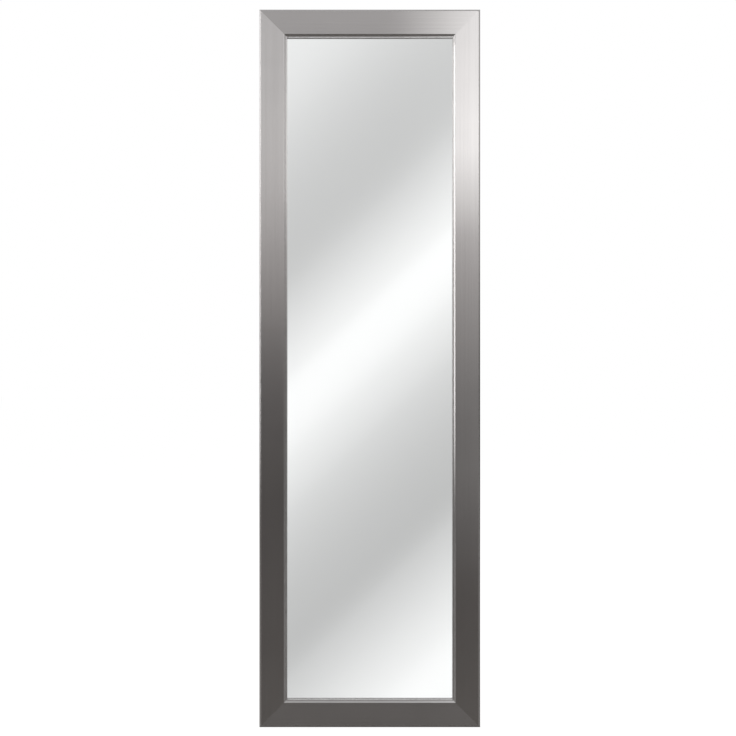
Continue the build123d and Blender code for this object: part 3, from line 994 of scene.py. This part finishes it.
def softbox(name, place, width, height, power, in_metal):
    """A soft rectangular lamp, aimed at the middle of the mirror."""
    deselect_everything()
    towards = (-Vector(place)).to_track_quat("-Z", "Y").to_euler()
    bpy.ops.object.light_add(type="AREA", location=place, rotation=towards)
    lamp = bpy.context.object
    lamp.name = name
    lamp.data.shape = "RECTANGLE"
    lamp.data.size, lamp.data.size_y = width, height
    lamp.data.energy = power
    lamp.visible_glossy = in_metal
    lamp.visible_transmission = False
    lamp.visible_camera = False


def glow_card(name, middle, turn, width, height, strength):
    """A glow that shows only in glossy reflections, on the side that the card faces."""
    deselect_everything()
    bpy.ops.mesh.primitive_plane_add(size=1, location=middle, rotation=(math.pi / 2, 0, turn))
    bpy.context.object.scale = (width, height, 1)
    card = started(name)
    material, shader, surface = new_material(name.replace("_", " ").capitalize())
    material.node_tree.nodes.remove(surface)
    place = shader.add("ShaderNodeSeparateXYZ")
    shader.link(shader.add("ShaderNodeTexCoord").outputs["Object"], place.inputs[0])
    glow = shader.add("ShaderNodeEmission")
    front = shader.math("SUBTRACT", 1.0, shader.add("ShaderNodeNewGeometry").outputs["Backfacing"])
    shader.link(shader.math("MULTIPLY", strength(shader, place.outputs), front), glow.inputs["Strength"])
    both = shader.add("ShaderNodeAddShader")
    shader.link(glow.outputs[0], both.inputs[0])
    shader.link(shader.add("ShaderNodeBsdfTransparent").outputs[0], both.inputs[1])
    shader.link(both.outputs[0], material.node_tree.nodes["Material Output"].inputs["Surface"])
    card.data.materials.append(material)
    for kind in ("camera", "diffuse", "transmission", "shadow", "volume_scatter"):
        setattr(card, f"visible_{kind}", False)


def right_hand_glow(shader, place):
    """Brightest at the upper right, fading towards the middle and downwards."""
    rightwards = shader.spread(place["X"], 0.02, 0.36)
    upwards = shader.spread(place["Z"], 0.28, 0.55)
    fading = shader.spread(place["Z"], 0.56, 0.85, 1.0, 0.7)
    tail = shader.spread(place["Z"], -0.6, -0.2, 0.0, 0.19)
    rise = shader.math("ADD", shader.math("MULTIPLY", upwards, fading), tail)
    return shader.math("MULTIPLY", shader.math("MULTIPLY", rightwards, rise), 0.9)


def step_glow(shader, place):
    """Bright from the top to below the middle, for the step of the right-hand stile."""
    return shader.spread(place["Z"], -0.36, -0.03, 0.0, 2.3)


def pale_floor(shade):
    """A floor just under the mirror, lit up towards the camera so that its far edge melts into the white."""
    bpy.ops.mesh.primitive_plane_add(size=60, location=(0, 0, CAD_BOX[0][2] - FLOOR_GAP))
    floor = started("floor")
    material, shader, surface = new_material("Pale floor")
    surface.inputs["Base Color"].default_value = (shade, shade, shade, 1.0)
    surface.inputs["Roughness"].default_value = 0.9
    surface.inputs["Specular IOR Level"].default_value = 0.1
    glow = shader.add("ShaderNodeEmission")
    glow.inputs["Strength"].default_value = 1.2
    mixed = shader.add("ShaderNodeMixShader")
    rays = shader.add("ShaderNodeLightPath").outputs
    shader.link(shader.math("MULTIPLY", rays["Is Camera Ray"], 0.7), mixed.inputs[0])
    shader.link(surface.outputs[0], mixed.inputs[1])
    shader.link(glow.outputs[0], mixed.inputs[2])
    shader.link(mixed.outputs[0], material.node_tree.nodes["Material Output"].inputs["Surface"])
    floor.data.materials.append(material)
    floor.visible_glossy = False
    floor.visible_transmission = False


class MIRROR_OT_stage(bpy.types.Operator):
    """Sets the camera, the lamps, the studio round the mirror and the pale floor"""

    bl_idname = "mirror.stage"
    bl_label = "Stage"

    def execute(self, context):
        settings = context.scene.mirror_stage
        face_y = CAD_BOX[0][1]
        deselect_everything()
        bpy.ops.object.camera_add(
            location=(settings.camera_right, face_y - settings.camera_distance, settings.camera_up),
            rotation=(math.pi / 2, 0, 0),
        )
        camera = context.object
        camera.data.lens_unit = "FOV"
        camera.data.angle = 2 * math.atan(settings.view_span / 2 / settings.camera_distance)
        context.scene.camera = camera
        studio_world(settings)
        softbox("key_softbox", (1.9, -2.6, 2.0), 1.6, 1.6, 42.0, False)
        softbox("fill_softbox", (-2.4, -1.8, 1.2), 1.6, 2.0, 20.0, False)
        softbox("back_softbox", (-1.6, 2.8, 2.2), 1.8, 1.4, 44.0, True)
        glow_card("side_glow", (0.6, face_y - 0.9, 0.5), math.pi, 1.4, 2.2, right_hand_glow)
        glow_card("step_glow", (-0.6, face_y - 0.10, 0.0), math.pi / 2, 0.13, 1.5, step_glow)
        pale_floor(settings.floor_shade)
        return {"FINISHED"}


class MIRROR_PT_panel(bpy.types.Panel):
    """The mirror's sizes, colours and building steps"""

    bl_idname = "MIRROR_PT_panel"
    bl_label = "Wall Mirror"
    bl_space_type = "VIEW_3D"
    bl_region_type = "UI"
    bl_category = "Wall Mirror"

    def draw(self, context):
        for label, group in SETTINGS.items():
            box = self.layout.box()
            box.label(text=label.replace("_", " ").capitalize())
            values = getattr(context.scene, label)
            for name in group.__annotations__:
                box.prop(values, name)
        for operator in STEPS:
            self.layout.operator(operator.bl_idname)


SETTINGS = {
    "mirror_moulding": MouldingSizes,
    "mirror_fittings": FittingSizes,
    "mirror_colours": FinishColours,
    "mirror_stage": StageSettings,
}
STEPS = (
    MIRROR_OT_finishes,
    MIRROR_OT_nickel_facing,
    MIRROR_OT_silvered_back,
    MIRROR_OT_screws,
    MIRROR_OT_turn_buttons,
    MIRROR_OT_strap_hangers,
    MIRROR_OT_wall_bumpers,
    MIRROR_OT_stage,
)


def register():
    for group in SETTINGS.values():
        bpy.utils.register_class(group)
    for label, group in SETTINGS.items():
        setattr(bpy.types.Scene, label, bpy.props.PointerProperty(type=group))
    for operator in STEPS:
        bpy.utils.register_class(operator)
    bpy.utils.register_class(MIRROR_PT_panel)


def unregister():
    bpy.utils.unregister_class(MIRROR_PT_panel)
    for operator in reversed(STEPS):
        bpy.utils.unregister_class(operator)
    for label in SETTINGS:
        delattr(bpy.types.Scene, label)
    for group in SETTINGS.values():
        bpy.utils.unregister_class(group)


def main():
    """Builds the mirror and its stage."""
    register()
    scene = bpy.context.scene
    scene.view_settings.view_transform = "Standard"
    bpy.ops.mirror.finishes()
    bpy.ops.mirror.nickel_facing()
    bpy.ops.mirror.silvered_back()
    bpy.ops.mirror.screws()
    bpy.ops.mirror.turn_buttons()
    bpy.ops.mirror.strap_hangers()
    bpy.ops.mirror.wall_bumpers()
    bpy.ops.mirror.stage()


if __name__ == "__main__":
    main()
